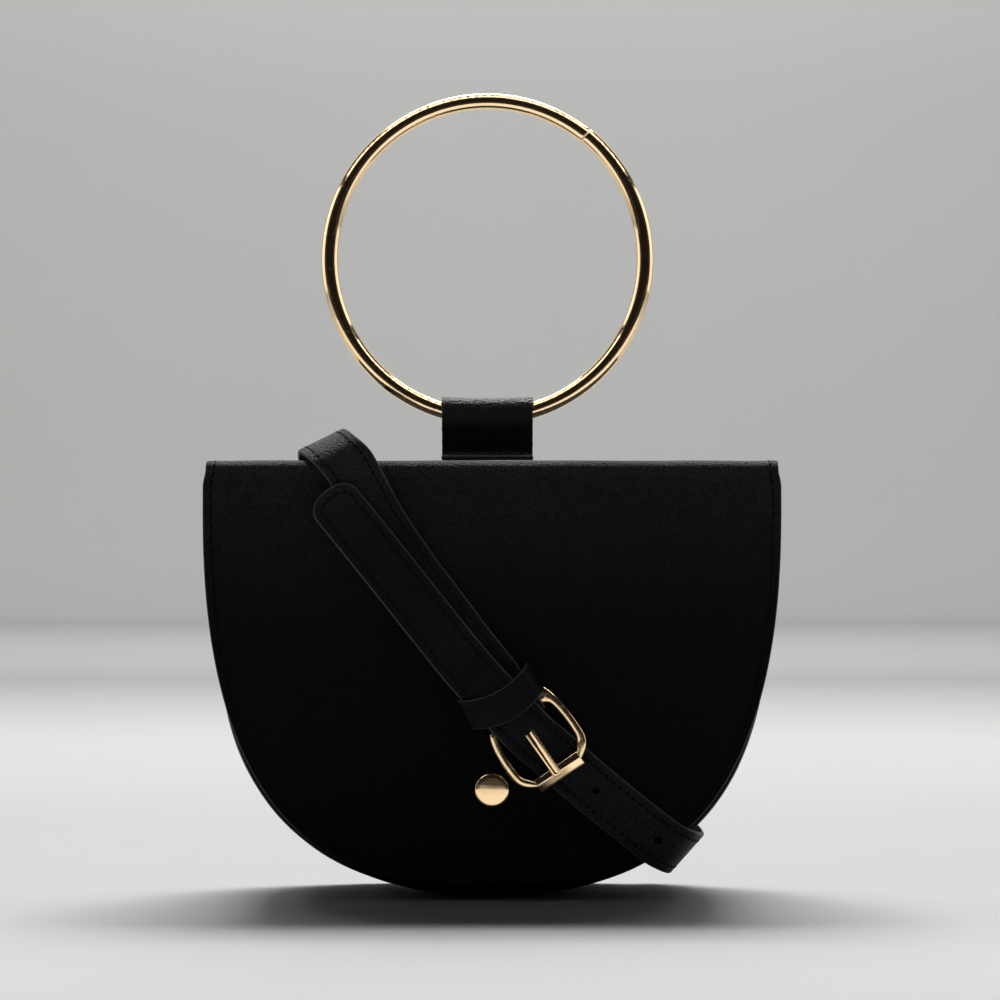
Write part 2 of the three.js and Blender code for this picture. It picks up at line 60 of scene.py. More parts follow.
snap_height = 38.3
stitch_inset = 3.0
GRAIN, EDGE, FLESH = 0, 1, 2


class Shade:
    """A value in a finish's node tree. A sum on it adds the nodes that work the sum out."""

    def __init__(self, finish, socket):
        self.finish, self.socket = finish, socket

    def work_out(self, operation, *terms):
        return self.finish.add("ShaderNodeMath", {"operation": operation}, dict(enumerate(terms)))

    def __add__(self, other):
        return self.work_out("ADD", self, other)

    def __radd__(self, other):
        return self.work_out("ADD", other, self)

    def __sub__(self, other):
        return self.work_out("SUBTRACT", self, other)

    def __rsub__(self, other):
        return self.work_out("SUBTRACT", other, self)

    def __mul__(self, other):
        return self.work_out("MULTIPLY", self, other)

    def __pow__(self, other):
        return self.work_out("POWER", self, other)


class Finish:
    """A material, with its shader's fixed values given by name."""

    def __init__(self, name, fixed):
        self.material = bpy.data.materials.new(name)
        self.material.use_nodes = True
        self.tree = self.material.node_tree
        self.surface = self.tree.nodes["Principled BSDF"]
        for socket, value in fixed.items():
            self.surface.inputs[socket].default_value = value

    def add(self, kind, settings, inputs, output=0):
        """A node's output. Settings are set before the inputs, and stops are a ramp's stops."""
        node = self.tree.nodes.new(kind)
        for key, value in settings.items():
            if key == "stops":
                ramp = node.color_ramp.elements
                while len(ramp) < len(value):
                    ramp.new(0.5)
                for stop, (position, colour) in zip(ramp, value):
                    stop.position, stop.color = position, (*colour, 1)
            else:
                setattr(node, key, value)
        for socket, value in inputs.items():
            self.feed(node.inputs[socket], value)
        return Shade(self, node.outputs[output])

    def feed(self, socket, value):
        if isinstance(value, Shade):
            self.tree.links.new(value.socket, socket)
        else:
            socket.default_value = value

    def paint(self, **values):
        """Feeds the shader: colour, rough and bump, which is a height in metres."""
        if "colour" in values:
            self.feed(self.surface.inputs["Base Color"], values["colour"])
        if "rough" in values:
            self.feed(self.surface.inputs["Roughness"], values["rough"])
        if "bump" in values:
            normal = self.add("ShaderNodeBump", {}, {"Distance": 1.0, "Height": values["bump"]})
            self.feed(self.surface.inputs["Normal"], normal)

    def blend(self, share, low, high):
        settings = {"data_type": "RGBA"}
        return self.add("ShaderNodeMix", settings, {0: share, 6: (*low, 1), 7: (*high, 1)}, output=2)

    def noise(self, cell, detail=3.0, rough=0.5):
        """Cloudy noise from 0 to 1 with cells of that size, in millimetres."""
        place = self.add("ShaderNodeTexCoord", {}, {}, output=3)
        inputs = {"Vector": place, "Scale": 1000 / cell, "Detail": detail, "Roughness": rough}
        return self.add("ShaderNodeTexNoise", {}, inputs)

    def pebbles(self, cell):
        """Rounded cells of that size in millimetres, 0 at the middle of each."""
        place = self.add("ShaderNodeTexCoord", {}, {}, output=3)
        return self.add("ShaderNodeTexVoronoi", {}, {"Vector": place, "Scale": 1000 / cell})


def leather(name, dark, light, rough, grain, gloss, painted_light_strength=0.0, painted_light_heights=()):
    """Grained leather between two shades, lighter on the grain's cells, which are of that size. Painted
    light makes it lighter from the first to the second height of each pair given, where light falls on
    it."""
    finish = Finish(name, {"Specular IOR Level": gloss})
    clouds = finish.noise(38, detail=4)
    pebble = finish.pebbles(grain)
    fine = finish.noise(0.4, detail=2)
    share = (1 - pebble) ** 3 * 0.9 + clouds * 0.25 + fine * 0.2
    # Painted light: lighter between the given heights, standing in for light on its upper or lower parts.
    if painted_light_heights:
        place = finish.add("ShaderNodeTexCoord", {}, {}, output=3)
        height = finish.add("ShaderNodeSeparateXYZ", {}, {0: place}, output=2)
        smooth = {"interpolation_type": "SMOOTHSTEP"}
        ends = [
            {"Value": height, "From Min": start / 1000, "From Max": end / 1000} for start, end in painted_light_heights
        ]
        lighter = sum(finish.add("ShaderNodeMapRange", smooth, pair) for pair in ends)
        share = share * (1 - painted_light_strength + lighter * painted_light_strength)
    finish.paint(
        colour=finish.blend(share, dark, light),
        rough=rough + (finish.noise(9) - 0.5) * 0.12 + (pebble - 0.4) * 0.15,
        bump=(1 - pebble) * 0.00032 + fine * 0.00006 + finish.noise(2.4) * 0.00014,
    )
    return finish.material


def fleshy(name, dark, light):
    """The back of the leather: short dull nap."""
    finish = Finish(name, {"Specular IOR Level": 0.2, "Sheen Weight": 0.2})
    nap = finish.noise(0.5, detail=5, rough=0.7)
    finish.paint(colour=finish.blend(nap, dark, light), rough=0.85 + nap * 0.1, bump=nap * 0.00012)
    return finish.material


def cut_edge(name, dark, light, rough):
    """A cut edge with its painted, slightly uneven coat."""
    finish = Finish(name, {"Specular IOR Level": 0.4})
    coat = finish.noise(1.6, detail=4, rough=0.6)
    finish.paint(colour=finish.blend(coat, dark, light), rough=rough + coat * 0.15, bump=coat * 0.00006)
    return finish.material


class Line:
    """A line through frames of place, side and outward direction, which flat leather is bent along."""

    def __init__(self, frames):
        self.frames = frames
        self.reach = [0.0]
        for (a, *_), (b, *_) in zip(frames, frames[1:]):
            self.reach.append(self.reach[-1] + (b - a).length)
        self.length = self.reach[-1]

    def at(self, along, across, out):
        i = min(max(bisect_right(self.reach, along) - 1, 0), len(self.frames) - 2)
        share = (along - self.reach[i]) / (self.reach[i + 1] - self.reach[i])
        place, side, outward = (a.lerp(b, share) for a, b in zip(self.frames[i], self.frames[i + 1]))
        return place + side.normalized() * across + outward.normalized() * out


def cut_sheet(outline, thickness, border, cuts_along, cuts_across, painted=2):
    """A flat piece: x along its line, y across it, and its face up at z = 0. The border is a row of
    steps from the edge inwards, each with how far in and how much up. The first ones are painted."""
    sheet = bmesh.new()
    under = sheet.faces.new([sheet.verts.new((x, y, -thickness)) for x, y in outline])
    grown = bmesh.ops.extrude_face_region(sheet, geom=[under], use_keep_orig=True)["geom"]
    top = next(part for part in grown if isinstance(part, bmesh.types.BMFace))
    lip = sum(up for _, up in border)
    bmesh.ops.translate(sheet, vec=(0, 0, thickness - lip), verts=top.verts)
    for side in sheet.faces:
        side.material_index = EDGE
    under.material_index = FLESH
    sheet.normal_update()
    if top.normal.z < 0:
        top.normal_flip()
    for number, (inwards, up) in enumerate(border):
        top.material_index = EDGE if number < painted else GRAIN
        bmesh.ops.inset_region(sheet, faces=[top], thickness=inwards, depth=up, use_even_offset=True)
    top.material_index = GRAIN
    for axis, cuts in enumerate((cuts_along, cuts_across)):
        direction = Vector((axis == 0, axis == 1, 0))
        for cut in cuts:
            parts = sheet.verts[:] + sheet.edges[:] + sheet.faces[:]
            bmesh.ops.bisect_plane(
                sheet, geom=parts, dist=1e-4, plane_co=direction * cut, plane_no=direction
            )
    return sheet


def bend(sheet, line, relief=None):
    for vert in sheet.verts:
        along, across, out = vert.co
        lift = relief(along, across) if relief else 0.0
        vert.co = line.at(along, across, out + lift)


def steps(start, end, pitch):
    count = max(round((end - start) / pitch), 1)
    return [start + (end - start) * i / count for i in range(count + 1)]


def sew(row, pitch, thick, sunk):
    """Stitches along a row of flat points, each diving into the leather at both ends."""
    stitch = bmesh.new()
    lying = Matrix.Diagonal((0.4 * pitch, thick / 2, thick / 2, 1)) @ Matrix.Rotation(math.pi / 2, 4, "Y")
    bmesh.ops.create_uvsphere(stitch, u_segments=8, v_segments=6, radius=1, matrix=lying)
    single = bpy.data.meshes.new("single_stitch")
    stitch.to_mesh(single)
    stitch.free()
    thread = bmesh.new()
    travelled, wanted = 0.0, pitch / 2
    for a, b in zip(row, row[1:]):
        span = math.dist(a, b)
        turn = math.atan2(b[1] - a[1], b[0] - a[0])
        while span and wanted <= travelled + span:
            share = (wanted - travelled) / span
            x, y = (p + (q - p) * share for p, q in zip(a, b))
            laid = single.copy()
            laid.transform(Matrix.Translation((x, y, sunk)) @ Matrix.Rotation(turn + 0.09, 4, "Z"))
            thread.from_mesh(laid, face_normals=False, vertex_normals=False)
            bpy.data.meshes.remove(laid)
            wanted += pitch
        travelled += span
    bpy.data.meshes.remove(single)
    return thread


def make(name, mesh, body, finishes, replaced=(), space=None, sharp=38):
    """The finished object of a mesh that is in millimetres, riding on its body."""
    if space:
        mesh.transform(space)
    mesh.transform(Matrix.Scale(0.001, 4))
    bmesh.ops.recalc_face_normals(mesh, faces=mesh.faces[:])
    for part in mesh.faces:
        part.smooth = True
    data = bpy.data.meshes.new(name)
    mesh.to_mesh(data)
    mesh.free()
    data.set_sharp_from_angle(angle=math.radians(sharp))
    for finish in finishes:
        data.materials.append(finish)
    piece = bpy.data.objects.new(name, data)
    bpy.context.scene.collection.objects.link(piece)
    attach(piece, body)
    if replaced:
        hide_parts(*replaced)


def half_moon(half, low, waist_share, depth_power, width_power, inset):
    """Half-width and height of the right-hand side of a half-moon, from its waist down."""
    half, low, waist = half - inset, low + inset, waist_share * bag_height
    points, turns = [], 48
    for i in range(turns + 1):
        turn = math.radians(90 * i / turns)
        x = half * max(math.cos(turn), 0) ** (2 / width_power)
        z = waist - (waist - low) * math.sin(turn) ** (2 / depth_power)
        points.append((x, z))
    return points


def flap_edge(inset):
    return half_moon(
        bag_width / 2, low=5.8, waist_share=0.936, depth_power=2.55, width_power=2.95, inset=inset
    )


def seam_edge(inset=0.0):
    return half_moon(
        seam_half, seam_low, waist_share=0.854, depth_power=3.55, width_power=2.15, inset=inset
    )


def ease(value, start, end):
    share = min(max((value - start) / (end - start), 0), 1)
    return share * share * (3 - 2 * share)


fold_length = fold_radius * math.pi / 2
top_length = bag_depth - 2 * fold_radius
sheet_length = 2 * (fold_start + fold_length) + top_length


def sheet_outline(inset=0.0):
    """The flat sheet's edge, from the middle of the flap's lower edge round to there again."""
    flap_top, top_half = bag_width / 2 - inset, bag_width / 2 - top_taper - inset
    right = [(z, x) for x, z in reversed(flap_edge(inset))]
    for along in steps(fold_start - 2, sheet_length - fold_start, 3):
        half = flap_top + (top_half - flap_top) * ease(along, fold_start - 2, fold_start + 5)
        right.append((along, half))
    shoulder = [(seam_half - inset, z) for z in steps(fold_start - 2, 0.86 * bag_height, 3)]
    for x, z in shoulder + seam_edge(inset):
        half = x + (top_half - seam_half + inset) * ease(z, 0.8 * fold_start, fold_start)
        right.append((sheet_length - z, half))
    left = [(along, -half) for along, half in reversed(right[1:-1])]
    return right + left


def over_the_top():
    """The line up the flap, over the top and down the back, on the leather's face."""
    side = Vector((1, 0, 0))
    frames = [(Vector((0, -face, 0)), side, Vector((0, -1, 0)))]
    for centre, first in ((-face + fold_radius, 180), (face - fold_radius, 90)):
        for turn in steps(first, first - 90, -7.5):
            outward = Vector((0, math.cos(math.radians(turn)), math.sin(math.radians(turn))))
            frames.append((Vector((0, centre, fold_start)) + outward * fold_radius, side, outward))
    frames.append((Vector((0, face, 0)), side, Vector((0, 1, 0))))
    return Line(frames)


lean_back, lean_from, lean_over = 2.2, 95, 50
wave_height, wave_along, wave_across = 0.3, 55, 48
sway_height, sway_across = 0.45, 26
dip_depth, dip_spread = 0.25, 150


def sheet_relief(along, across):
    """Slight waves of the soft leather, its dip at the snap and the gentle sway of the top. The flap
    leans back a little towards the top."""
    risen = max((min(along, fold_start) - lean_from) / lean_over, 0) * (along < sheet_length / 2)
    lean = -lean_back * risen**2 * (1 - ease(along, fold_start, fold_start + 8))
    waves = noise.noise(Vector((along / wave_along, across / wave_across, 3.1))) - 0.25
    top = 1 - abs(along - sheet_length / 2) / (top_length / 2 + fold_length)
    sway = (noise.noise(Vector((across / sway_across, 7.7, 0))) - 0.35) * max(top, 0) ** 0.5
    dip = math.exp(-((along - snap_height) ** 2 + across**2) / dip_spread)
    return lean + wave_height * waves + sway_height * sway - dip_depth * dip


# Painted light: the bag's leather grows lighter from 85 mm up to the top, and more again from 145 mm over
# the top fold, a painted sheen where light from above falls.
bag_leather = leather(
    "bag_leather", (0.0005, 0.0006, 0.0013), (0.036, 0.039, 0.049),
    rough=0.54, grain=0.65, gloss=0.075, painted_light_strength=0.95, painted_light_heights=[(85, 158), (145, 152)],
)
bag_flesh = fleshy("bag_leather_back", (0.003, 0.003, 0.0035), (0.01, 0.01, 0.011))
bag_edge = cut_edge("bag_leather_edge", (0.003, 0.0032, 0.004), (0.009, 0.0095, 0.011), 0.42)
bag_finishes = [bag_leather, bag_edge, bag_flesh]
leather_edge = [(0.12, 0.22), (0.25, 0.14), (0.75, 0.04), (0.18, -0.12), (0.2, 0.12), (0.95, 0)]
stitch_channel = [(0.3, -0.26), (0.35, 0), (0.3, 0.26), (0.7, 0)]
fold_zone = (fold_start - 4, sheet_length - fold_start + 4)
fold_pitch = 1.15
sheet_cuts = steps(4, fold_zone[0], 4) + steps(*fold_zone, fold_pitch)[1:-1]
sheet_cuts += steps(fold_zone[1], sheet_length - 4, 4)
sheet = cut_sheet(
    sheet_outline(), leather_wall, leather_edge + stitch_channel, sheet_cuts, steps(-95, 95, 5)
)
over_top = over_the_top()
bend(sheet, over_top, sheet_relief)
make("back_and_flap_leather", sheet, "bag", bag_finishes, ["back_and_flap"])

thread_finish = Finish("black_thread", {"Specular IOR Level": 0.08})
twist = thread_finish.noise(0.25, detail=2)
thread_finish.paint(
    colour=thread_finish.blend(twist, (0.0003, 0.0003, 0.0004), (0.0018, 0.0018, 0.0022)),
    rough=0.6 + twist * 0.2,
    bump=twist * 0.00005,
)
black_thread = thread_finish.material
bag_stitch_pitch = 3.86
thread_thick = 0.95
thread_sunk = 0.3
row = sheet_outline(stitch_inset)
stitches = sew(row + row[:1], bag_stitch_pitch, thread_thick, -thread_sunk)
bend(stitches, over_top, sheet_relief)
make("back_and_flap_stitches", stitches, "bag", [black_thread])


# Front panel. A half-moon of the same leather behind the flap. Its edge is turned over in a soft roll
# where it is sewn to the gusset, and the roll shows under the flap's lower corners.
panel_gap = 3.8
panel_face = face - panel_gap
panel_top = fold_start - 3
panel_wave = 0.5
turned_roll = [(0.05, 0.5), (0.15, 0.4), (0.35, 0.32), (0.55, 0.2), (0.8, 0.08), (1.2, 0)]
lower = seam_edge()
outline = [(z, x) for x, z in reversed(lower)] + [(panel_top, seam_half)]
outline += [(along, -half) for along, half in reversed(outline[1:])]
panel = cut_sheet(outline, leather_wall, turned_roll, steps(4, panel_top - 3, 6), steps(-93, 93, 6), 0)
upright = Line(
    [(Vector((0, -panel_face, z)), Vector((1, 0, 0)), Vector((0, -1, 0))) for z in (0, bag_height)]
)


def panel_relief(along, across):
    return panel_wave * noise.noise(Vector((along / 40, across / 40, 9))) - 0.2


bend(panel, upright, panel_relief)
make("front_panel_leather", panel, "bag", bag_finishes, ["front_panel"])


# Gusset. One long band of leather round the sides and the bottom, sewn to the front and back panels.
# Its middle stands out in a crown, and the floor presses it flat underneath.
gusset_front = -panel_face + leather_wall + 0.3
gusset_back = face - leather_wall - 0.3
gusset_crown = 2.5
gusset_puff = 2.0
gusset_top = fold_start - 1
edge_points = [(seam_half, gusset_top), (seam_half, gusset_top - 6)] + seam_edge()
edge_points += [(-x, z) for x, z in reversed(edge_points[:-1])]
gusset_frames = []
for i, (x, z) in enumerate(edge_points):
    (x0, z0), (x1, z1) = edge_points[max(i - 1, 0)], edge_points[min(i + 1, len(edge_points) - 1)]
    outward = Vector((-(z1 - z0), 0, x1 - x0)).normalized()
    gusset_frames.append((Vector((x, 0, z)), Vector((0, 1, 0)), outward))
round_the_sides = Line(gusset_frames)
round_length = round_the_sides.length
corners = [(0, gusset_front), (round_length, gusset_front), (round_length, gusset_back), (0, gusset_back)]
turned_edge = [(0.3, 0.25), (0.4, 0.1), (1.1, 0), (0.25, -0.12), (0.25, 0.12)]


def crown(along, across):
    share = (across - gusset_front) / (gusset_back - gusset_front)
    puff = noise.noise(Vector((along / 22, across / 18, 1.7))) * share * (1 - share)
    return gusset_crown * (1 - (2 * share - 1) ** 2) + gusset_puff * puff - 0.2


band = cut_sheet(
    corners,
    leather_wall,
    turned_edge,
    steps(3, round_length - 3, 2.5),
    steps(gusset_front + 3, gusset_back - 3, 3),
    0,
)
depths = [-vert.co.z for vert in band.verts]
bend(band, round_the_sides, crown)
for vert, depth in zip(band.verts, depths):
    vert.co.z = max(vert.co.z, depth)
make("gusset_leather", band, "bag", bag_finishes, ["gusset"])


# Ring tab. A strip of leather with raw sides that stands on the top, runs up and round the ring's
# wire, and comes down again. Its two feet are sewn to the top of the bag.
ring_shift = -1.7
ring_diameter = 117.2
ring_wire = 5.8
ring_lift = 12.6
tab_width = 32
tab_wall = 1.3
tab_foot = 13
tab_dip, tab_dip_reach = 0.45, 9
raw_side, raw_rough = 0.6, 0.18
ring_radius = (ring_diameter - ring_wire) / 2
ring_height = bag_height + ring_lift + ring_diameter / 2


def rounded(corners, radii):
    """Flat points along straight runs between corners, each rounded by its radius."""
    points, corners = [], [Vector(corner) for corner in corners]
    for i, radius in enumerate(radii):
        if radius == 0:
            points.append(corners[i])
            continue
        before, here, after = corners[i - 1 : i + 2]
        a, b = (before - here).normalized(), (after - here).normalized()
        half = a.angle(b) / 2
        start, end = here + a * radius / math.tan(half), here + b * radius / math.tan(half)
        centre = here + (a + b).normalized() * radius / math.sin(half)
        spans = max(round(math.degrees(math.pi - 2 * half) / 9), 2)
        for k in range(spans + 1):
            spoke = (start - centre).slerp(end - centre, k / spans)
            points.append(centre + spoke.normalized() * radius)
    return points


def flat_line(points, side, right, up, origin=(0, 0, 0), turn=1):
    """A bending line through flat points, in the plane of the directions right and up."""
    side, right, up, origin = Vector(side), Vector(right), Vector(up), Vector(origin)
    frames, last = [], len(points) - 1
    for i, point in enumerate(points):
        run = (points[min(i + 1, last)] - points[max(i - 1, 0)]).normalized()
        outward = (right * run.y - up * run.x) * turn
        frames.append((origin + right * point.x + up * point.y, side, outward))
    return Line(frames)


wire_rise = ring_radius - math.sqrt(ring_radius**2 - (tab_width / 2) ** 2)
loop_low = ring_lift + ring_wire / 2
loop_high = loop_low + wire_rise
loop_half = ring_wire / 2 + 0.5 + tab_wall
foot_face = 0.3 + tab_wall
leg = tab_wall + 0.02
tab_corners = [
    (tab_foot, foot_face), (leg, foot_face), (leg, loop_low - 7.2), (loop_half, loop_low - 2.2),
    (loop_half, loop_high + loop_half), (-loop_half, loop_high + loop_half),
    (-loop_half, loop_low - 2.2), (-leg, loop_low - 7.2), (-leg, foot_face), (-tab_foot, foot_face),
]
tab_points = rounded(tab_corners, [0, 1.4, 5, 5, loop_half * 0.99, loop_half * 0.99, 5, 5, 1.4, 0])
tab_line = flat_line(tab_points, (1, 0, 0), (0, 1, 0), (0, 0, 1), (ring_shift, 0, bag_height))
tab_length = tab_line.length
tab_half = tab_width / 2
tab_outline = [(0, -tab_half), (tab_length, -tab_half), (tab_length, tab_half), (0, tab_half)]
raw_edge = [(0.08, 0.12), (0.14, 0.08), (0.3, 0.03)]
tab = cut_sheet(tab_outline, tab_wall, raw_edge, steps(0.6, tab_length - 0.6, 0.7), steps(-15, 15, 2.5))
for vert in tab.verts:
    if abs(vert.co.y) > tab_half - raw_side:
        vert.co.y += raw_rough * noise.noise(Vector((vert.co.x / 1.6, vert.co.y, 4)))


def tab_relief(along, across):
    middle = 1 - abs(along - tab_length / 2) / tab_dip_reach
    return -tab_dip * max(middle, 0) * (1 - (across / tab_half) ** 2)


bend(tab, tab_line, tab_relief)
tab_leather = leather(
    "tab_leather", (0.0016, 0.0017, 0.0019), (0.0042, 0.0044, 0.0047), rough=0.46, grain=0.9, gloss=0.2
)
make("ring_tab_leather", tab, "bag", [tab_leather, bag_edge, bag_flesh], ["ring_tab"])


# Ring handle. Round wire of polished pale gold, bent to a circle that stands across the bag. Its ends
# meet in a fine butt seam, one a hair's breadth off the other.
ring_slit_turn = 51.5
ring_slit = 0.3
ring_end_step = 0.22


def gold(name, tint, rough, scratch):
    """Polished plating with a warm cast, fine hairlines and faint smears."""
    finish = Finish(name, {"Metallic": 1.0})
    smear = finish.noise(16, detail=3)
    place = finish.add("ShaderNodeTexCoord", {}, {}, output=3)
    stretched = finish.add("ShaderNodeMapping", {}, {"Vector": place, "Scale": (90, 900, 1500)})
    hair = finish.add("ShaderNodeTexNoise", {}, {"Vector": stretched, "Scale": 1.0, "Detail": 2.0})
    warm = tuple(t * k for t, k in zip(tint, (1.0, 0.9, 0.84)))
    finish.paint(
        colour=finish.blend(smear, warm, tint),
        rough=rough + smear * 0.06 + hair**6 * scratch,
        bump=hair * 0.000002,
    )
    return finish.material


gold_plating = gold("gold_plating", (0.97, 0.75, 0.46), 0.05, 0.9)
section = ring_wire / 2
slit_angle = ring_slit / ring_radius
ring = bmesh.new()
start_matrix = Matrix.Translation((ring_radius, 0, 0)) @ Matrix.Rotation(math.pi / 2, 4, "X")
bmesh.ops.create_circle(ring, segments=28, radius=section, matrix=start_matrix)
bmesh.ops.rotate(ring, verts=ring.verts, cent=(0, 0, 0), matrix=Matrix.Rotation(slit_angle / 2, 3, "Z"))
bmesh.ops.spin(
    ring,
    geom=ring.verts[:] + ring.edges[:],
    cent=(0, 0, 0),
    axis=(0, 0, 1),
    angle=2 * math.pi - slit_angle,
    steps=300,
)
bmesh.ops.holes_fill(ring, edges=[edge for edge in ring.edges if edge.is_boundary])
ring.normal_update()
rims = [edge for edge in ring.edges if any(len(part.verts) > 4 for part in edge.link_faces)]
bmesh.ops.bevel(
    ring,
    geom=rims,
    offset=0.28,
    offset_type="OFFSET",
    affect="EDGES",
    segments=3,
    profile=0.5,
    material=-1,
)
for vert in ring.verts:
    turn = math.atan2(vert.co.y, vert.co.x) % (2 * math.pi)
    vert.co += vert.co.normalized() * ring_end_step * ease(turn, 6.0, 6.28)
upright_ring = (
    Matrix.Translation((ring_shift, 0, ring_height))
    @ Matrix.Rotation(math.pi / 2, 4, "X")
    @ Matrix.Rotation(math.radians(ring_slit_turn), 4, "Z")
)
make("ring_wire", ring, "ring", [gold_plating], ["ring_handle"], upright_ring)


# Snap button. A domed and polished cap with a fine rim on the flap, its post through the leather, and
# the clasp behind it that holds to the front panel.
snap_profile = [
    (0, 1.82), (1.4, 1.81), (2.8, 1.78), (4.0, 1.74), (5.0, 1.695), (5.35, 1.64), (5.65, 1.5),
    (5.87, 1.27), (5.97, 1.0), (6.0, 0.8), (5.95, 0.4), (5.7, 0.22), (1.5, 0.2), (1.5, -1.9),
    (5.0, -1.9), (5.0, -3.4), (4.6, -3.5), (0, -3.5),
]
snap = bmesh.new()
profile = [snap.verts.new((x, 0, z)) for x, z in snap_profile]
for a, b in zip(profile, profile[1:]):
    snap.edges.new((a, b))
bmesh.ops.spin(
    snap,
    geom=snap.verts[:] + snap.edges[:],
    cent=(0, 0, 0),
    axis=(0, 0, 1),
    angle=2 * math.pi,
    steps=72,
    use_merge=True,
)
bmesh.ops.remove_doubles(snap, verts=snap.verts[:], dist=1e-4)
on_flap = Matrix.Translation((0, -face, snap_height)) @ Matrix.Rotation(math.pi / 2, 4, "X")
make("snap_button", snap, "bag", [gold_plating], ["snap_cap"], on_flap, sharp=60)


# Strap. One long strip of matt black leather, stitched along both edges and round its tip. It is
# folded round the buckle's rear bar, goes up the front and over the top, down the back, round the
# lower right edge and up to the buckle, where its tongue lies over the first layer.
strap_width = 18
strap_thick = 1.5
strap_tuck = 24
strap_tongue = 101.5
tip_round = 7
strap_stitch_pitch = 3.0
hole_pitch = 27.3
hole_shift = 1.7
hole_radius = 1.4
buckle_turn = 35
buckle_length = 23.6
bar_half = 1.1
gap = 0.3
turn = math.radians(buckle_turn)
buckle_space = Matrix.Identity(4)
buckle_space.col[0] = (math.sin(turn), 0, -math.cos(turn), 0)
buckle_space.col[1] = (math.cos(turn), 0, math.sin(turn), 0)
buckle_space.col[2] = (0, -1, 0, 0)
buckle_space.col[3] = (0.0955 * bag_width / 2, -face, 0.4225 * bag_height, 1)

rest_height = gap + strap_thick / 2
layer = strap_thick + gap
tuck_height = rest_height + 1.2 + gap
strap_fold = bar_half + 0.45 + strap_thick / 2
bar_height = tuck_height + strap_fold
tongue_height = bar_height + strap_fold + layer


def mix(a, b, share):
    return a + (b - a) * share


def at_buckle(onward, along, height, turn):
    return buckle_space @ Vector((onward, along, height)), turn


def on_bag(across, y, up, turn):
    return Vector((across * bag_width / 2, y, up * bag_height)), turn


def wrap(front, crest, back, power, count):
    """Stations from the front face to the back face, over an edge of the bag."""
    reach = face + rest_height
    lift = crest[0] - (front[0] + back[0]) / 2
    stations = []
    for i in range(count + 1):
        turn = math.radians(180 * i / count - 90)
        out = max(math.cos(turn), 0) ** (2 / power)
        place = front[0].lerp(back[0], i / count) + lift * out
        place.y = reach * math.copysign(abs(math.sin(turn)) ** (2 / power), math.sin(turn))
        near = front if i * 2 < count else back
        stations.append((place, mix(near[1], crest[1], out)))
    return stations


rest_face = face + rest_height
over = tuck_height + layer
tongue_rest = rest_height + layer
strap_stations = [
    at_buckle(-strap_tuck, -0.3, tuck_height, 35),
    at_buckle(-0.4 * strap_tuck, 0, tuck_height, 35),
]
for angle in (0, 45, 90, 135, 180):
    spoke = math.radians(angle)
    height = bar_height - strap_fold * math.cos(spoke)
    strap_stations.append(at_buckle(strap_fold * math.sin(spoke), 0, height, buckle_turn))
strap_stations += [
    at_buckle(-0.2 * strap_tuck, 0, mix(over, bar_height + strap_fold, 0.75), 35),
    at_buckle(-0.45 * strap_tuck, 0.2, mix(over, bar_height + strap_fold, 0.15), 35),
    at_buckle(-0.7 * strap_tuck, 0.4, over, 35),
    at_buckle(-1.05 * strap_tuck, -0.2, over, 35),
    at_buckle(-1.35 * strap_tuck, -0.6, mix(rest_height, over, 0.45), 35),
    at_buckle(-1.7 * strap_tuck, -0.9, 1.1 * rest_height, 35),
    at_buckle(-2.1 * strap_tuck, -1.2, rest_height, 35),
    on_bag(-0.27, -rest_face, 0.747, 34),
    on_bag(-0.385, -rest_face, 0.859, 33.5),
]
strap_stations += wrap(
    on_bag(-0.494, -rest_face, 0.989, 31),
    on_bag(-0.603, 0, 1.0453, 26),
    on_bag(-0.605, rest_face, 0.991, 36),
    3,
    16,
)
strap_stations += [on_bag(-0.545, rest_face, 0.91, 41), on_bag(0.02, rest_face, 0.52, 43.5)]
strap_stations += reversed(
    wrap(
        on_bag(0.592, -rest_face, 0.1295, 49),
        on_bag(0.682, 0, 0.0975, 48.3),
        on_bag(0.615, rest_face, 0.119, 45),
        2.8,
        12,
    )
)
strap_stations += [
    at_buckle(1.54 * buckle_length, 6.5, rest_height, 49),
    at_buckle(0.95 * buckle_length, 3, rest_height, 49),
    at_buckle(0.67 * buckle_length, 1.4, rest_height, 48),
    at_buckle(0.4 * buckle_length, -0.2, mix(rest_height, tongue_height, 0.5), 47),
    at_buckle(0.13 * buckle_length, -1.2, tongue_height, 46),
    at_buckle(-0.08 * strap_tuck, -2, tongue_height, 45),
    at_buckle(-0.5 * strap_tuck, -3.8, mix(over + layer, tongue_height, 0.45), 42),
    at_buckle(-0.83 * strap_tuck, -4.8, over + layer, 40),
    at_buckle(-1.1 * strap_tuck, -5.5, over + layer, 39.5),
    at_buckle(-1.7 * strap_tuck, -6.6, tongue_rest, 39),
    at_buckle(-0.7 * strap_tongue, -8.4, tongue_rest, 39),
    at_buckle(tip_round - strap_tongue, -10.5 + 0.07 * tip_round, tongue_rest, 39),
    at_buckle(-strap_tongue, -10.5, tongue_rest, 39),
]


def through(points, i, share):
    """A point on the smooth curve through the points, after point i. Long spans get more of it."""
    a = points[i - 1] if i > 0 else 2 * points[0] - points[1]
    b, c = points[i], points[i + 1]
    d = points[i + 2] if i + 2 < len(points) else 2 * points[-1] - points[-2]
    t0, t1, t2 = (max((q - p).length ** 0.5, 1e-4) for p, q in ((a, b), (b, c), (c, d)))
    start = ((b - a) / t0 - (c - a) / (t0 + t1) + (c - b) / t1) * t1
    end = ((c - b) / t1 - (d - b) / (t1 + t2) + (d - c) / t2) * t1
    bow = 2 * (b - c) + start + end
    return b + start * share + (3 * (c - b) - 2 * start - end) * share**2 + bow * share**3


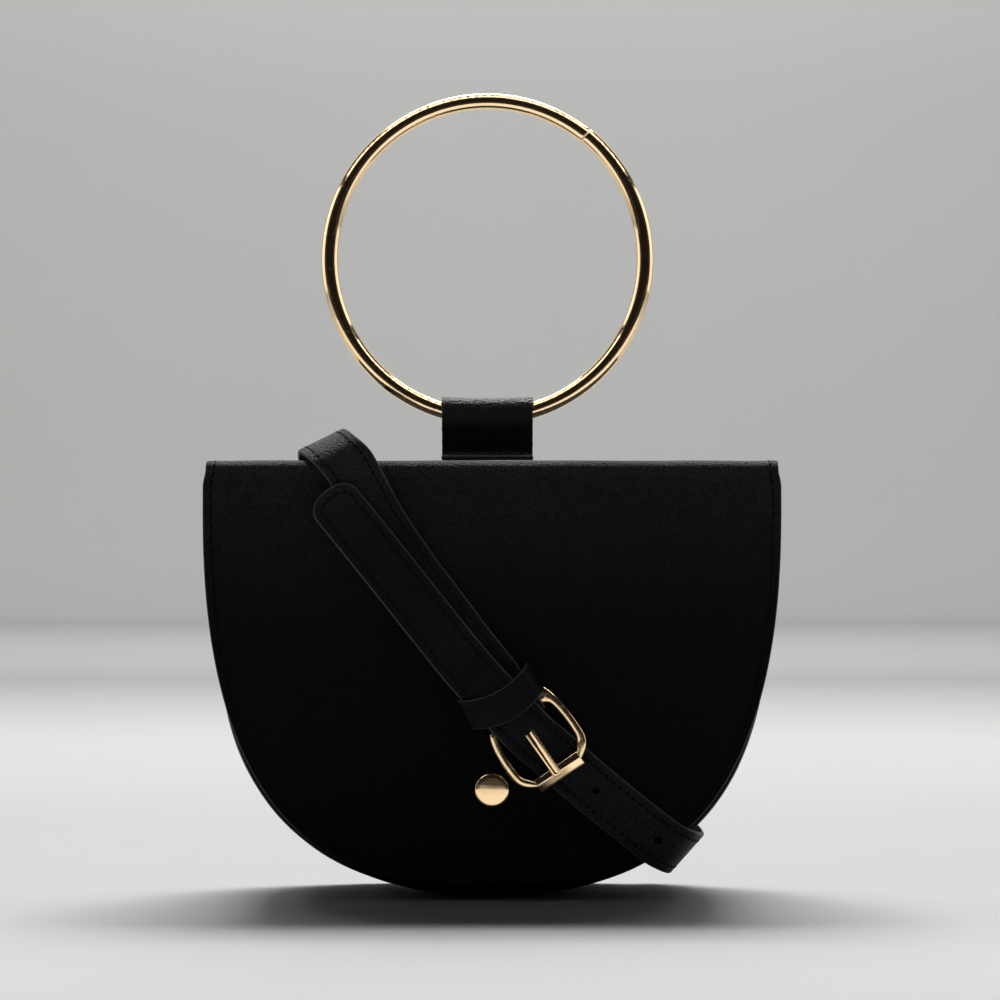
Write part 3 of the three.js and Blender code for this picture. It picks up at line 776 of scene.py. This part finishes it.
def strap_frames(stations, pitch=1.6):
    places = [place for place, _ in stations]
    line = []
    for i, (a, b) in enumerate(zip(stations, stations[1:])):
        count = max(math.ceil((b[0] - a[0]).length / pitch), 2)
        line += [(through(places, i, k / count), mix(a[1], b[1], k / count)) for k in range(count)]
    line.append((places[-1], stations[-1][1]))
    frames = []
    for i, (place, turn) in enumerate(line):
        run = line[min(i + 1, len(line) - 1)][0] - line[max(i - 1, 0)][0]
        side = Vector((math.cos(math.radians(turn)), 0, math.sin(math.radians(turn))))
        frames.append((place, side, side.cross(run).normalized()))
    return frames


strap_line = Line(strap_frames(strap_stations))
strap_length = strap_line.length
strap_half = strap_width / 2


def strap_outline(inset=0.0):
    """The strap's flat edge, square at its folded end and rounded at its tip."""
    tip = []
    for i in range(25):
        turn = math.radians(90 - 180 * i / 24)
        y = (strap_half - inset) * math.copysign(abs(math.sin(turn)) ** 0.85, math.sin(turn))
        tip.append((strap_length - tip_round + (tip_round - inset) * math.cos(turn) ** 0.85, -y))
    return [(inset, -strap_half + inset)] + tip + [(inset, strap_half - inset)]


strap_edge = [(0.08, 0.2), (0.16, 0.14), (0.3, 0.07), (0.9, 0.02), (1.1, 0)]
strap_channel = [(0.28, -0.24), (0.34, 0), (0.28, 0.24), (0.4, 0)]
strip = cut_sheet(
    strap_outline(),
    strap_thick,
    strap_edge + strap_channel,
    steps(3, strap_length - 9, 2) + steps(strap_length - 7.5, strap_length - 4.5, 1.5),
    (-2.4, 0, 2.4),
    3,
)
for vert in strip.verts:
    vert.co.z += strap_thick / 2


def punch(sheet, along, across, radius, top, bottom):
    """A round hole right through a flat piece. The rim of the faces taken out is drawn to a circle."""
    centre = Vector((along, across))

    def open_rim(height):
        rim = [edge for edge in sheet.edges if edge.is_boundary]
        return [edge for edge in rim if abs(edge.verts[0].co.z - height) < 0.1]

    rims = []
    for height in (top, bottom):
        near = [
            part
            for part in sheet.faces
            if abs(part.calc_center_median().z - height) < 0.1
            and (part.calc_center_median().xy - centre).length < radius * 1.7
        ]
        bmesh.ops.delete(sheet, geom=near, context="FACES")
        bmesh.ops.subdivide_edges(sheet, edges=open_rim(height), cuts=1)
        rim = open_rim(height)
        for vert in {vert for edge in rim for vert in edge.verts}:
            vert.co.xy = centre + (vert.co.xy - centre).normalized() * radius
        rims += rim
    for part in bmesh.ops.bridge_loops(sheet, edges=rims)["faces"]:
        part.material_index = EDGE


prong_hole = buckle_space @ Vector((0.4 * buckle_length, -0.8, mix(rest_height, tongue_height, 0.5)))
prong_along = min(
    (along for along in strap_line.reach if along > 0.6 * strap_length),
    key=lambda along: (strap_line.at(along, 0, 0) - prong_hole).length,
)
bmesh.ops.recalc_face_normals(strip, faces=strip.faces[:])
for number in range(1, 5):
    along = prong_along - hole_shift - number * hole_pitch
    punch(strip, along, 0, hole_radius, strap_thick / 2, -strap_thick / 2)
bend(strip, strap_line)
# Painted light: the strap grows lighter below 80 mm down to 42 mm, where its lower stretch faces the lit
# floor, and above 122 mm, where it arches over the top.
strap_leather = leather(
    "strap_leather", (0.0012, 0.0016, 0.0025), (0.036, 0.046, 0.051),
    rough=0.5, grain=0.6, gloss=0.1, painted_light_strength=0.94, painted_light_heights=[(80, 42), (122, 158)],
)
strap_flesh = fleshy("strap_leather_back", (0.005, 0.005, 0.0055), (0.014, 0.014, 0.014))
strap_paint = cut_edge("strap_edge_paint", (0.016, 0.018, 0.018), (0.038, 0.042, 0.042), 0.4)
strap_finishes = [strap_leather, strap_paint, strap_flesh]
make("strap_leather_band", strip, "bag", strap_finishes, ["strap"])

row = strap_outline(stitch_inset)
stitches = sew(row, strap_stitch_pitch, thread_thick, strap_thick / 2 - thread_sunk)
bend(stitches, strap_line)
make("strap_stitches", stitches, "bag", [black_thread])


# Buckle. A bowed frame of rounded gold bar, whose rear bar carries the strap's fold. The frame, the
# prong and the plate round its front bar are one small fitting of polished plated metal.
frame_rear = 25.2 / 2
frame_wide = 29.8 / 2
frame_band = 3.0
frame_thick = 2.2
frame_round = 1.02
plate_length = 17.8
front_corner = plate_length / 2 + gap
corner_reach = 3.6
corner_out = (9.8, 12.6)
corner_on = (-2, 15)


def frame_loop(rows, start, end, end_half, start_half):
    """A closed outline through rows of how far along and how wide. It is the same on both sides,
    but for one rear corner that reaches back."""
    side = [Vector((x * buckle_length, y, 0)) for x, y in rows]
    line = [Vector((start, start_half, 0))] + side + [Vector((end, end_half, 0))]
    smooth = [through(line, i, k / 6) for i in range(len(line) - 1) for k in range(6)] + [line[-1]]
    loop = [point.copy() for point in smooth] + [Vector((p.x, -p.y, 0)) for p in reversed(smooth)]
    for point in loop:
        point.x -= corner_reach * ease(point.y, *corner_out) * (1 - ease(point.x, *corner_on))
    return loop


outer_rows = [
    (0.0, frame_rear), (0.14, frame_rear + 1.3), (0.36, frame_wide - 0.1), (0.62, frame_wide),
    (0.8, frame_wide - 0.5), (0.91, frame_wide - 2.0), (0.98, frame_wide - 4.0),
]
frame_inside = frame_wide - frame_band
inner_rows = [
    (0.1, frame_rear - 2.2), (0.36, frame_inside - 0.1), (0.62, frame_inside),
    (0.76, frame_inside - 0.5), (0.85, frame_inside - 2.1),
]
outer = frame_loop(outer_rows, -bar_half, buckle_length + 1.1, front_corner - 1, frame_rear - 1.6)
inner = frame_loop(
    inner_rows, bar_half, buckle_length - 1.3, front_corner - 1, frame_rear - frame_band - 0.4
)
buckle = bmesh.new()
loops = []
for points in (outer, inner):
    verts = [buckle.verts.new(point) for point in points]
    loops += [buckle.edges.new((a, b)) for a, b in zip(verts, verts[1:] + verts[:1])]
flat = bmesh.ops.bridge_loops(buckle, edges=loops)["faces"]
raised = bmesh.ops.extrude_face_region(buckle, geom=flat, use_keep_orig=True)["geom"]
raised = [part for part in raised if isinstance(part, bmesh.types.BMVert)]
bmesh.ops.translate(buckle, vec=(0, 0, frame_thick), verts=raised)
bmesh.ops.recalc_face_normals(buckle, faces=buckle.faces[:])
rims = [edge for edge in buckle.edges if edge.is_manifold and edge.calc_face_angle() > 1.2]
bmesh.ops.bevel(
    buckle,
    geom=rims,
    offset=frame_round,
    affect="EDGES",
    segments=6,
    profile=0.5,
    material=-1,
    clamp_overlap=True,
)
bmesh.ops.translate(buckle, vec=(0, 0, bar_height - bar_half), verts=buckle.verts)
make(
    "buckle_frame_metal", buckle, "bag", [gold_plating], ["buckle_frame"], buckle_space, 80
)

# The prong is a narrow channel of sheet metal, curled round the rear bar. Its tip lies on the front
# bar, in the plate's notch.
prong_width = 3.2
prong_thick = 1.0
prong_shift = -0.8
eye = bar_half + 0.45 + prong_thick
prong_points = []
for angle in range(-60, -200, -10):
    spoke = math.radians(angle)
    prong_points.append(Vector((eye * math.sin(spoke), bar_height - eye * math.cos(spoke))))
prong_points += [
    Vector((x * buckle_length, bar_height + z))
    for x, z in ((0.12, 2.75), (0.3, 3.0), (0.5, 3.05), (0.7, 2.9), (0.85, 2.7), (1.0, 2.5), (1.03, 2.45))
]
prong_line = flat_line(prong_points, (0, 1, 0), (1, 0, 0), (0, 0, 1), (0, prong_shift, 0), turn=-1)
half, length = prong_width / 2, prong_line.length
prong_outline = [(0, -half), (length - 0.9, -half), (length - 0.2, -0.7 * half), (length, -0.3 * half)]
prong_outline += [(along, -across) for along, across in reversed(prong_outline)]
channel = [(0.1, 0.16), (0.16, 0.06), (0.3, 0), (0.16, -0.2), (0.1, -0.06)]
arm = cut_sheet(prong_outline, prong_thick, channel, steps(0.8, length - 1.2, 0.8), (0,), 0)
bend(arm, prong_line)
make("buckle_prong_metal", arm, "bag", [gold_plating], ["buckle_prong"], buckle_space, 50)

# The plate is sheet metal folded round the front bar, with a ridge along it and a notch in its
# upper lip.
plate_width = 5.2
plate_wall = 0.55
plate_top = bar_half + gap + plate_wall
notch_reach = (2.3, 0.5)
plate_corners = [
    (0, -plate_top), (-plate_width / 2, -plate_top), (-plate_width / 2, 0.72 * plate_top),
    (-0.5, plate_top + 0.25), (plate_width / 2, 0.75 * plate_top), (plate_width / 2, -plate_top),
    (-0.1, -plate_top),
]
plate_points = rounded(plate_corners, [0, 0.7, 0.5, 0.5, 0.7, 0.7, 0])
plate_line = flat_line(
    plate_points, (0, 1, 0), (1, 0, 0), (0, 0, 1), (buckle_length, 0, bar_height), turn=-1
)
half, length = plate_length / 2, plate_line.length
plate_outline = [(0, -half), (length, -half), (length, half), (0, half)]
thin_edge = [(0.06, 0.12), (0.14, 0.06)]
plate = cut_sheet(plate_outline, plate_wall, thin_edge, steps(0.3, length - 0.3, 0.35), (), 0)
notch = (prong_shift - prong_width / 2 - gap, prong_shift + prong_width / 2 + gap)
for side in notch:
    parts = plate.verts[:] + plate.edges[:] + plate.faces[:]
    bmesh.ops.bisect_plane(plate, geom=parts, dist=1e-4, plane_co=(0, side, 0), plane_no=(0, 1, 0))
ridge_along = min(steps(0, length, 0.1), key=lambda along: -plate_line.at(along, 0, 0).z)
lip = [ridge_along - reach for reach in notch_reach]
cut_out = []
for part in plate.faces:
    middle = part.calc_center_median()
    if lip[0] < middle.x < lip[1] and notch[0] < middle.y < notch[1]:
        cut_out.append(part)
bmesh.ops.delete(plate, geom=cut_out, context="FACES")
bmesh.ops.bridge_loops(plate, edges=[edge for edge in plate.edges if edge.is_boundary])
bend(plate, plate_line)
make("buckle_plate_metal", plate, "bag", [gold_plating], ["buckle_plate"], buckle_space, 50)


# Keeper. A loop of the strap's leather, closed by a butt seam underneath, that holds the folded end,
# the strap and its tongue together. It leans a little towards the buckle.
keeper_length = 11
keeper_width = 27.2
keeper_wall = 1.2
keeper_turn = 6.6
keeper_shift = -1.8
keeper_on, keeper_bow = 2.4, 3.5
keeper_high = tongue_height + strap_thick / 2 + gap + keeper_wall
half = keeper_width / 2
keeper_corners = [
    (0, gap), (half, gap), (half, keeper_high), (-half, keeper_high), (-half, gap), (-0.05, gap),
]
keeper_points = rounded(keeper_corners, [0, 1.6, 3.4, 3.4, 1.6, 0])
keeper_line = flat_line(keeper_points, (1, 0, 0), (0, 1, 0), (0, 0, 1))
half, length = keeper_length / 2, keeper_line.length
keeper_outline = [(0, -half), (length, -half), (length, half), (0, half)]
loop = cut_sheet(
    keeper_outline,
    keeper_wall,
    [(0.1, 0.14), (0.2, 0.1), (0.5, 0.02), (1.0, 0)],
    steps(0.5, length - 0.5, 0.9),
    (-2.5, 0, 2.5),
)
bend(loop, keeper_line)
for vert in loop.verts:
    vert.co.x += keeper_on - keeper_bow * (vert.co.y / (keeper_width / 2)) ** 2
clear = bar_half + gap + keeper_width / 2 * math.sin(math.radians(keeper_turn))
keeper_space = (
    buckle_space
    @ Matrix.Translation((-keeper_length / 2 - clear, keeper_shift, 0))
    @ Matrix.Rotation(math.radians(-keeper_turn), 4, "Z")
)
make("keeper_leather", loop, "bag", strap_finishes, ["strap_keeper"], keeper_space)


# Studio. Pale paper sweeps from the floor up to a wall. One lamp behind and above draws the dark
# shadow in front of the bag, and another lights the wall. Dark cloths and lit panels, which only gloss
# sees, stand in front, above and beside.
def greys(finish, value, stops, blue):
    """Greys with that share of blue, at a value in metres. Stops are places with their tones."""
    near, far = stops[0][0], stops[-1][0]
    spread = [((at - near) / (far - near), (tone, tone, tone * blue)) for at, tone in stops]
    share = (value - near) * (1 / (far - near))
    return finish.add("ShaderNodeValToRGB", {"stops": spread}, {0: share})


def paper(name, floor_light_and_shade, wall_light_and_shade):
    """Matt paper with a faint mottle, its grey changing along the floor and up the wall in painted light
    and shade.
    """
    finish = Finish(name, {"Specular IOR Level": 0.1, "Roughness": 0.8})
    place = finish.add("ShaderNodeTexCoord", {}, {}, output=3)
    away = finish.add("ShaderNodeSeparateXYZ", {}, {0: place}, output=1)
    up = finish.add("ShaderNodeSeparateXYZ", {}, {0: place}, output=2)
    floor = greys(finish, away, floor_light_and_shade, 0.985)
    wall = greys(finish, up, wall_light_and_shade, 0.98)
    raised = finish.add("ShaderNodeMapRange", {}, {"Value": up, "From Min": 0.004, "From Max": 0.052})
    toned = finish.add("ShaderNodeMix", {"data_type": "RGBA"}, {0: raised, 6: floor, 7: wall}, output=2)
    mottle = 0.97 + finish.noise(220, detail=3) * 0.05
    scaled = finish.add("ShaderNodeVectorMath", {"operation": "SCALE"}, {0: toned, "Scale": mottle})
    finish.paint(colour=scaled)
    return finish.material


def stand(name, mesh, finish, seen):
    """A piece of the studio, from a mesh in metres. Where it isn't seen, only gloss shows it."""
    data = bpy.data.meshes.new(name)
    mesh.to_mesh(data)
    mesh.free()
    data.materials.append(finish)
    piece = bpy.data.objects.new(name, data)
    bpy.context.scene.collection.objects.link(piece)
    piece.visible_camera = piece.visible_diffuse = piece.visible_shadow = seen


sweep = bmesh.new()
wall_away, wall_round, room_half = 1350, 45, 2600
centre = Vector((0, wall_away - wall_round, wall_round))
profile = [Vector((0, -room_half, 0))]
for turn in steps(-90, 0, 7.5):
    spoke = Vector((0, math.cos(math.radians(turn)), math.sin(math.radians(turn))))
    profile.append(centre + spoke * wall_round)
profile.append(Vector((0, wall_away, room_half)))
points = [sweep.verts.new(point - Vector((room_half, 0, 0))) for point in profile]
edges = [sweep.edges.new(pair) for pair in zip(points, points[1:])]
grown = bmesh.ops.extrude_edge_only(sweep, edges=edges)["geom"]
grown = [part for part in grown if isinstance(part, bmesh.types.BMVert)]
bmesh.ops.translate(sweep, vec=(2 * room_half, 0, 0), verts=grown)
sweep.transform(Matrix.Scale(0.001, 4))
for part in sweep.faces:
    part.smooth = True
# Painted light and shade on the paper: its grey falls from the front of the floor to the back, and from
# the foot of the wall upwards, as the lamps would light it.
floor_light_and_shade = [(-0.2, 0.54), (0.035, 0.43), (0.24, 0.385), (0.73, 0.355), (1.1, 0.28), (1.3, 0.24)]
wall_light_and_shade = [(0, 0.6), (0.09, 0.6), (0.16, 0.57), (0.22, 0.55), (0.45, 0.49)]
stand("studio_sweep", sweep, paper("studio_paper", floor_light_and_shade, wall_light_and_shade), True)


def card(name, place, size, facing):
    """A dark cloth in front of the bag, with its face that way."""
    finish = Finish(name, {"Specular IOR Level": 0.25, "Roughness": 0.9})
    clouds = finish.noise(300, detail=3)
    dark = (0.012, 0.009, 0.008)
    finish.paint(colour=finish.blend(clouds, dark, [c * 1.03 for c in dark]))
    cloth = bmesh.new()
    turn = (Vector(facing) - Vector(place)).to_track_quat("Z", "Y").to_matrix().to_4x4()
    spread = Matrix.Translation(place) @ turn @ Matrix.Diagonal((*size, 1, 1))
    bmesh.ops.create_grid(cloth, x_segments=1, y_segments=1, size=0.5, matrix=spread)
    stand(name, cloth, finish.material, False)


card("dark_cloth", (0, -1.75, 0.95), (3.6, 1.7), (0, 0, 0.5))
card("dark_floor_cloth", (0, -1.35, 0.002), (3.6, 1.6), (0, -1.35, 1))


def lamp(name, place, size, power, colour, facing):
    data = bpy.data.lights.new(name, "AREA")
    data.shape = "RECTANGLE"
    data.size, data.size_y = size
    data.energy, data.color = power, colour
    light = bpy.data.objects.new(name, data)
    light.location = place
    light.rotation_euler = (Vector(facing) - Vector(place)).to_track_quat("-Z", "Y").to_euler()
    bpy.context.scene.collection.objects.link(light)


lamp("behind_and_above", (0.05, 1.1, 1.95), (1.3, 0.45), 58, (0.98, 0.99, 1.0), (0, 0, 0.12))
lamp("wall_light", (0.0, 0.8, 1.9), (2.4, 0.3), 37, (1.0, 1.0, 0.99), (0, 1.35, 0.8))


def glow(name, strength, colour, places):
    """Lit panels, one for each place, which is the matrix of a unit square."""
    panels = bmesh.new()
    for place in places:
        bmesh.ops.create_grid(panels, x_segments=1, y_segments=1, size=0.5, matrix=place)
    lit = Finish(name, {"Emission Strength": strength, "Emission Color": (*colour, 1)})
    stand(name, panels, lit.material, False)


# A ribbed diffuser arches over the bag, and shows as a row of dots in the ring.
arch_radius, rib_pitch = 1.15, 2.2
rib = Matrix.Translation((0, -0.3, arch_radius)) @ Matrix.Diagonal((0.024, 0.5, 1, 1))
ribs = [Matrix.Rotation(math.radians(angle), 4, "Y") @ rib for angle in steps(-46, 44, rib_pitch)]
glow("ribbed_diffuser", 3.2, (1.0, 0.98, 0.88), ribs)
on_edge = Matrix.Rotation(math.pi / 2, 4, "Y") @ Matrix.Diagonal((1.4, 1.9, 1, 1))
sides = [Matrix.Translation((x, 0.45, 0.5)) @ on_edge for x in (-1.7, 1.7)]
glow("side_panels", 0.42, (1.0, 0.97, 0.9), sides)
front = Matrix.Translation((0, -0.34, 0.002)) @ Matrix.Diagonal((1.4, 0.42, 1, 1))
glow("front_panel_of_light", 0.14, (1.0, 0.97, 0.9), [front])

world = bpy.data.worlds.new("studio_air")
world.use_nodes = True
air = world.node_tree.nodes["Background"]
air.inputs["Color"].default_value = (0.8, 0.8, 0.8, 1)
air.inputs["Strength"].default_value = 0.035
bpy.context.scene.world = world
bpy.context.scene.view_settings.view_transform = "Standard"

eye_level = bpy.data.cameras.new("eye_level")
eye_level.sensor_width = 36
eye_level.lens = 118.3
camera = bpy.data.objects.new("eye_level", eye_level)
camera.location = (0.00276, -1.161, 0.1383)
camera.rotation_euler = (math.pi / 2, 0, 0)
bpy.context.scene.collection.objects.link(camera)
bpy.context.scene.camera = camera
